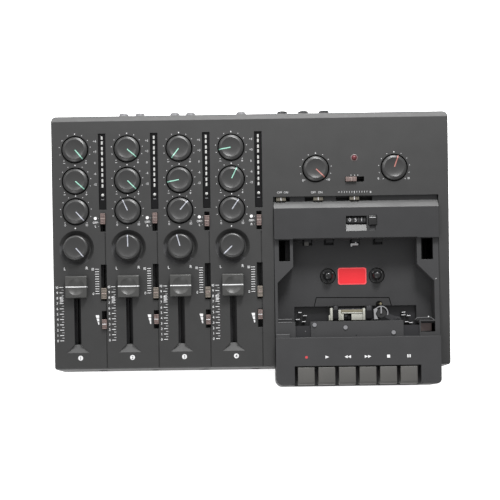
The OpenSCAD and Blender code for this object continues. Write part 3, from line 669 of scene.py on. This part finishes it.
for k in range(n):
    f += [[4 * k + s, 4 * k + (s + 1) % 4, 4 * k + 4 + (s + 1) % 4, 4 * k + 4 + s] for s in range(4)]
f += [[0, 3, 2, 1], [4 * n, 4 * n + 1, 4 * n + 2, 4 * n + 3]]
p.add(m2, (v, f), "steel")
p.box(m2, -0.6, 0.6, -0.6, 5.6, -6.8, -6.0, "steel", 0.15, 1)
p.done("pinch_arm_body", "pinch_arm", "arm_steel", ["pinch_arm"])

p = Piece()
p.lathe(deck(111, 167.2), [(0.86, -12.6), (4.1, -12.6), (4.4, -12.3), (4.4, -7.4), (4.1, -7.1), (0.86, -7.1), (0.86, -12.6)], "rubber", 40)
p.done("pinch_roller_tyre", "pinch_roller", "roller_rubber", ["pinch_roller"])
dress("capstan_flywheel", "brass")

# ---------------------------------------------------------------- prints and small fittings on the panel
p, M = Piece(), panel(0, 0)


def tick_ring(M, count, r, size, mat="faint", top=0.5, span=135.0):
    for k in range(count):
        t = math.radians(90 - (-span + 2 * span * k / (count - 1)))
        mid = k == count // 2
        p.disc(M, r * math.cos(t), r * math.sin(t), top if mid else size, "white" if mid else mat, 10)


def end_marks(M, left, right, r=14.8):
    for s, txt in ((-1, left), (1, right)):
        t = math.radians(90 - s * 141)
        x, y = r * math.cos(t), r * math.sin(t)
        if txt == "-":
            p.rect(M, x - 0.9, x + 0.9, y - 0.2, y + 0.2, "faint")
        elif txt == "+":
            p.rect(M, x - 0.85, x + 0.85, y - 0.2, y + 0.2, "faint")
            p.rect(M, x - 0.2, x + 0.2, y - 0.85, y + 0.85, "faint", 0.05)
        else:
            p.text(M, txt, x, y, 2.1, "faint")


for i in range(4):
    x = cx(i)
    for k, d in enumerate(LOW_D):
        m = panel(x, d)
        tick_ring(m, 11, 13.4, 0.38)
        end_marks(m, *(("-", "+") if k < 2 else ("0", "10")))
    m = panel(x, PAN_D)
    p.disc(m, -0.6, 17.0, 0.6, "white", 12)
    p.text(m, "L", -10.3, -17.5, 2.5, "white")
    p.text(m, "R", 8.7, -17.1, 2.5, "white")
    # fader scale
    for k in range(11):
        d = 141.6 + 4.58 * k
        p.text(M, str(10 - k), x - 17.2, -d, 2.1, "white")
        p.rect(M, x - 15.2, x - 11.9, -d - 0.24, -d + 0.24, "white")
        if k < 10:
            p.rect(M, x - 13.4, x - 11.5, -d - 2.49, -d - 2.09, "faint")
    for k in range(5):
        p.line(M, [(x - 15.0, -150.2 - 1.0 * k), (x - 12.2, -149.6 - 1.0 * k)], 0.45, "white")
    p.disc(M, x + 2.0, -202.5, 2.1, "white", 24)
    p.text(M, str(i + 1), x + 2.0, -202.5, 2.7, "recess", 0.09)
    # side column
    s = x + SIDE
    for k, d in enumerate((14.2, 18.3, 23.2, 27.2, 32.4, 36.5, 41.5, 45.8, 50.7, 55.1)):
        p.box(M, s - 0.75, s + 0.75, -d - 1.45, -d + 1.45, -0.8, -0.5, "lamp", 0.15, 1)
    p.lathe(panel(s, 63), [(0, -0.1), (0.7, -0.2), (1.1, -0.45), (1.3, -0.85)], "lamp", 20)
    p.rect(M, s - 1.2, s + 1.2, -67.1, -66.5, "dim", -0.75)
    for d, t in ((16.9, "+6"), (25.9, "+3"), (35.5, "0"), (44.6, "-6"), (53.8, "-12")):
        p.text(M, t, s - 6.1, -d, 1.9, "faint")
    p.disc(M, s - 6.5, -82.9, 1.35, "white", 18)
    p.text(M, "OFF", s - 6.6, -86.5, 1.8, "white")
    p.text(M, "LR"[i % 2], s - 6.3, -89.7, 1.9, "white")
    for d in (83.0, 86.5, 89.7):
        p.disc(M, s - 3.9, -d, 0.25, "faint", 8)
    for k in range(11):
        d = 126.4 + 2.1 * k
        p.rect(M, s - 7.4, s - 4.1, -d - 0.22, -d + 0.22, "white")
    p.text(M, "10", s - 9.4, -126.4, 2.2, "white")
    p.text(M, "0", s - 9.2, -147.4, 2.2, "white")
    for y0, y1, w0, w1 in ((-168.2, -165.8, 3.0, 2.4), (-171.2, -168.7, 2.2, 1.6), (-174.0, -171.7, 1.4, 0.8)):
        p.poly(M, [(s - 4.6 - w1, y0), (s - 4.6, y0), (s - 4.6, y1), (s - 4.6 - w0, y1)], "white")
# masters, lamp and switches on the right
for x in (56.4, 123.5):
    m = panel(x, MASTER_D)
    tick_ring(m, 11, 13.4, 0.38)
p.text(M, "0", 45.4, -53.0, 1.9, "faint")
p.text(M, "10", 67.7, -52.6, 1.9, "faint")
p.text(M, "0", 109.9, -52.4, 1.9, "faint")
p.text(M, "10", 135.8, -52.4, 1.9, "faint")
p.text(M, "OFF", 25.2, -63.1, 1.8, "faint")
p.text(M, "ON", 30.6, -63.1, 1.8, "faint")
p.text(M, "OFF", 54.2, -63.4, 1.8, "faint")
p.text(M, "ON", 60.0, -63.4, 1.8, "faint")
m = panel(89.5, 34.4)
p.lathe(m, [(2.15, 0.02), (2.3, 0.2), (2.6, 0.24), (3.0, 0.0)], "led_ring", 32)
p.lathe(m, [(0, 0.75), (0.7, 0.7), (1.3, 0.5), (1.8, 0.2), (2.15, -0.4)], "led", 32)
for x in (86.4, 89.7, 92.4):
    p.disc(M, x, -49.2, 0.42, "faint", 12)
p.rect(M, 75.1, 76.9, -63.7, -63.3, "faint")
for k in range(11):
    x = 78.5 + 2.15 * k
    p.rect(M, x - 0.17, x + 0.17, -64.3 if k != 5 else -64.7, -62.7, "faint" if k != 5 else "white")
p.rect(M, 102.2, 104.0, -64.05, -63.65, "faint")
p.rect(M, 102.9, 103.3, -64.75, -62.95, "faint", 0.05)
p.done("panel_marks", "case", "case_plastic")

# ---------------------------------------------------------------- marks and fittings on the deck
p, M = Piece(), deck(0, 0)
p.prism(M, rim(6, 87.84 - 12.4, 87.84 + 12.4, -134.34 - 7.35, -134.34 + 7.35, 2.0), -18.5, -18.3, "label_edge")
p.prism(M, rim(6, 87.84 - 11.5, 87.84 + 11.5, -134.34 - 6.5, -134.34 + 6.5, 1.6), -18.4, -18.22, "label")
SYMBOL_D = 204.4
p.disc(M, 45.9, -SYMBOL_D, 1.15, "red", 18)
tri = lambda x, y, w, h: p.poly(M, [(x, y - h), (x + w, y), (x, y + h)], "white")
tri(62.0, -SYMBOL_D, 3.2, 1.3)
tri(81.0, -SYMBOL_D, -2.8, 1.3)
tri(83.8, -SYMBOL_D, -2.8, 1.3)
tri(95.4, -SYMBOL_D, 2.8, 1.3)
tri(98.2, -SYMBOL_D, 2.8, 1.3)
p.rect(M, 114.4, 117.0, -SYMBOL_D - 1.3, -SYMBOL_D + 1.3, "white")
p.rect(M, 131.6, 132.7, -SYMBOL_D - 1.3, -SYMBOL_D + 1.3, "white")
p.rect(M, 133.4, 134.5, -SYMBOL_D - 1.3, -SYMBOL_D + 1.3, "white")
# counter reading and the lines between its digits
for x, t in ((84.9, "0"), (89.8, "5"), (95.0, "1")):
    p.text(M, t, x, -87.4, 3.1, "faint", -1.5)
for x in (82.5, 87.4, 92.4, 97.6):
    p.rect(M, x - 0.12, x + 0.12, -89.4, -85.4, "key", -1.45)
# plates on two of the sensing levers
p.box(M, 90.1, 91.1, -107.4, -104.5, -11.55, -11.05, "steel")
p.box(M, 86.2, 92.8, -108.2, -106.6, -11.6, -11.0, "faint", 0.15, 1)
p.box(M, 86.4, 87.6, -109.4, -108.1, -11.6, -11.0, "faint", 0.15, 1)
p.box(M, 46.2, 50.0, -108.0, -104.5, -11.6, -11.0, "key", 0.2, 1)
# seam of the plate in front of the well
p.line(M, [(54.4, -160.4), (56.3, -152.6), (119.7, -153.5), (121.6, -160.4)], 0.8, "seam", -18.46)
# springs and pins beside the heads
for x, d, w in ((41.7, 165.6, -15), (46.0, 168.4, -15), (39.6, 171.7, -12), (44.8, 173.6, -12), (131.5, 166.7, -15),
                (131.4, 168.9, -15), (135.7, 169.7, -14), (133.6, 175.0, -12), (137.3, 175.8, -12)):
    p.box(M, x - 1.5, x + 1.5, -d - 0.5, -d + 0.5, -22.5, w - 0.3, "chassis")
    p.box(M, x - 1.6, x + 1.6, -d - 0.4, -d + 0.4, w - 0.3, w, "faint", 0.12, 1)
# ribs and lines of the ledge; the ribs are raised and also painted lighter, and the lines are painted highlight along
# lit edges
for d in (171.7, 174.3):
    p.box(M, 22.5, 34.2, -d - 0.2, -d + 0.2, -3.5, -3.3, "light_edge", 0.08, 1)
p.line(M, [(139.4, -173.5), (141.2, -171.8), (153.0, -171.6), (155.6, -174.0)], 0.35, "light_edge", -3.46)
# painted highlight: a white spot at the end of the right ledge line
p.disc(M, 150.9, -171.0, 0.5, "white", 12, z=-3.44)
p.line(M, [(157.3, -138.9), (158.6, -138.4)], 0.4, "faint", -3.46)
p.rect(M, 20.8, 31.8, -184.9, -184.6, "light_edge", -0.05)
p.rect(M, 21.0, 159.6, -189.2, -188.8, "light_edge", -0.46)
p.disc(M, 88.9, -186.2, 0.6, "recess", 12, z=-3.46)
p.disc(M, 45.7, -182.2, 0.4, "dim", 10, z=-4.66)
p.prism(M, rim(4, 145.6, 155.2, -183.2, -175.8, 0.6), -13.4, -12.9, "pocket")
# dark sheet under the left door arm slot, painted shade that keeps the slot dark
p.box(Matrix.Scale(0.001, 4), 19.5, 36.5, 8.0, 61.5, 5.7, 6.1, "chassis", 0.1, 1)
p.done("deck_marks", "case", "deck_plastic")

# ---------------------------------------------------------------- floor, light and camera
bpy.ops.mesh.primitive_plane_add(size=6, location=(0, 0, 0))
floor = bpy.context.object
floor.name = "floor"
floor.data.materials.append(finish("floor_paper", (250, 250, 250), 0.75, bump=0.02, var=0.01, scale=3.0, grain=200.0, spec=0.2, glow=0.62))

scene = bpy.context.scene
scene.view_settings.view_transform = "Standard"
scene.view_settings.look = "None"
scene.view_settings.exposure = 0.0
world = scene.world or bpy.data.worlds.new("World")
scene.world = world
world.use_nodes = True
bg = world.node_tree.nodes["Background"]
bg.inputs["Color"].default_value = (1.0, 1.0, 1.0, 1.0)
bg.inputs["Strength"].default_value = 0.72


def area(name, at, to, size, watts, tint=(1.0, 1.0, 1.0)):
    li = bpy.data.lights.new(name, "AREA")
    li.shape = "DISK"
    li.size = size
    li.energy = watts
    li.color = tint
    o = bpy.data.objects.new(name, li)
    scene.collection.objects.link(o)
    o.location = at
    o.rotation_euler = (Vector(at) - Vector(to)).to_track_quat("Z", "Y").to_euler()
    return o


area("key", (0.16, 0.62, 0.52), (0.03, 0.0, 0.03), 0.24, 9.0)
area("fill", (-0.55, 0.55, 0.60), (0.0, 0.0, 0.03), 0.5, 3.0)
area("back", (0.05, 1.30, 0.30), (0.0, 0.05, 0.05), 0.5, 10.0)
area("front", (-0.45, -0.95, 0.55), (-0.05, -0.1, 0.03), 0.6, 4.0)

cam_data = bpy.data.cameras.new("camera")
cam_data.sensor_width = 36.0
cam_data.lens = 66.217
cam_data.shift_y = 0.16
cam_data.clip_start = 0.05
cam = bpy.data.objects.new("camera", cam_data)
scene.collection.objects.link(cam)
yaw, lean, tilt = -0.01435956, 0.00542305, 0.09215070
cam.matrix_world = (Matrix.Translation((0.00138, -0.14480, 0.8300)) @ Matrix.Rotation(yaw, 4, "Z")
                    @ Matrix.Rotation(lean, 4, "Y") @ Matrix.Rotation(tilt, 4, "X"))
scene.camera = cam
